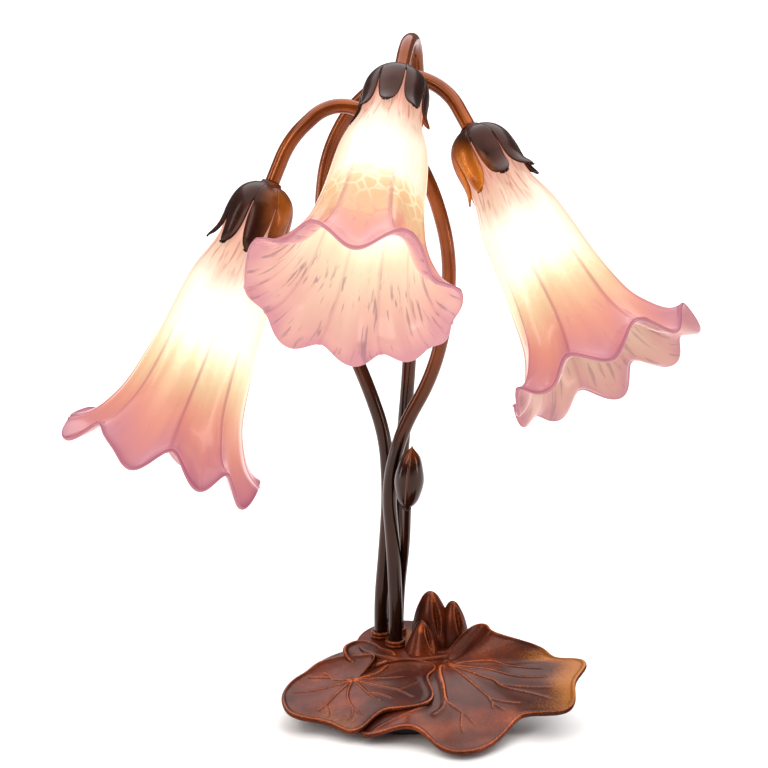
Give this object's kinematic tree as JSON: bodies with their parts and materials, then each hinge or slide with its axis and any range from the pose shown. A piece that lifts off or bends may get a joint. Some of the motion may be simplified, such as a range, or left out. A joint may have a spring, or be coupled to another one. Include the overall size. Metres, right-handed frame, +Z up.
{
  "type": "table lamp",
  "caption": "Table lamp: bent metal stems rise from a cast lily-pad base with buds and carry hanging ruffled blown-glass flower shades under slit metal sepal caps.",
  "frame": {"origin": "centre of the round base's underside, on the table", "axes": "+Z up, +X to the viewer's right, -Y towards the viewer"},
  "size_m": [0.3794, 0.2709, 0.4276],
  "materials": {
    "felt": "dark felt",
    "steel_plate": "dark bronze paint",
    "bronze_casting": "mahogany bronze with copper edges, glossy",
    "bronze_tube": "dark bronze, glossy",
    "bronze_trim": "dark bronze, glossy",
    "bronze_sheet": "dark bronze, glossy",
    "zinc_steel": "zinc plated",
    "brass": "stamped brass",
    "nickel_brass": "nickel plated",
    "black_plastic": "moulded phenolic",
    "white_plastic": "moulded nylon",
    "lead_insulation": "extruded insulation",
    "black_rubber": "moulded",
    "art_glass": "blown glass, cream to salmon pink with a plum rim",
    "bulb_glass": "frosted glass, lit"
  },
  "bodies": {
    "lamp": {"felt_pad": "felt", "base_plate": "steel_plate", "base_casting": "bronze_casting", "base_screws": "zinc_steel", "cord_grommet": "black_rubber", "foot_washers": "zinc_steel", "foot_nuts": "zinc_steel", "terminal_block": "white_plastic", "bud_stem": "bronze_tube", "foot_collar_bud": "bronze_trim", "stem_bud": "bronze_casting", "arm_left": "bronze_tube", "lead_left": "lead_insulation", "foot_collar_left": "bronze_trim", "sepal_cap_left": "bronze_sheet", "cap_locknut_left": "zinc_steel", "lampholder_left": "black_plastic", "screw_shell_left": "brass", "contact_left": "brass", "glass_shade_left": "art_glass", "shade_ring_left": "black_plastic", "arm_right": "bronze_tube", "lead_right": "lead_insulation", "foot_collar_right": "bronze_trim", "sepal_cap_right": "bronze_sheet", "cap_locknut_right": "zinc_steel", "lampholder_right": "black_plastic", "screw_shell_right": "brass", "contact_right": "brass", "glass_shade_right": "art_glass", "shade_ring_right": "black_plastic", "arm_centre": "bronze_tube", "lead_centre": "lead_insulation", "foot_collar_centre": "bronze_trim", "sepal_cap_centre": "bronze_sheet", "cap_locknut_centre": "zinc_steel", "lampholder_centre": "black_plastic", "screw_shell_centre": "brass", "contact_centre": "brass", "glass_shade_centre": "art_glass", "shade_ring_centre": "black_plastic"},
    "bulb_left": {"bulb_base_left": "nickel_brass", "bulb_glass_left": "bulb_glass"},
    "bulb_right": {"bulb_base_right": "nickel_brass", "bulb_glass_right": "bulb_glass"},
    "bulb_centre": {"bulb_base_centre": "nickel_brass", "bulb_glass_centre": "bulb_glass"}
  },
  "joints": [
    {"name": "bulb_left_turn", "type": "hinge", "parent": "lamp", "child": "bulb_left", "pos_m": [-0.09031, -0.01895, 0.3233], "axis": [-0.3699, -0.2439, -0.8965], "range_deg": [0, 1620]},
    {"name": "bulb_right_turn", "type": "hinge", "parent": "lamp", "child": "bulb_right", "pos_m": [0.04571, -0.01477, 0.35827], "axis": [0.4535, -0.4813, -0.7501], "range_deg": [0, 1620]},
    {"name": "bulb_centre_turn", "type": "hinge", "parent": "lamp", "child": "bulb_centre", "pos_m": [-0.00808, -0.03346, 0.39803], "axis": [-0.1518, -0.811, -0.565], "range_deg": [0, 1620]}
  ]
}
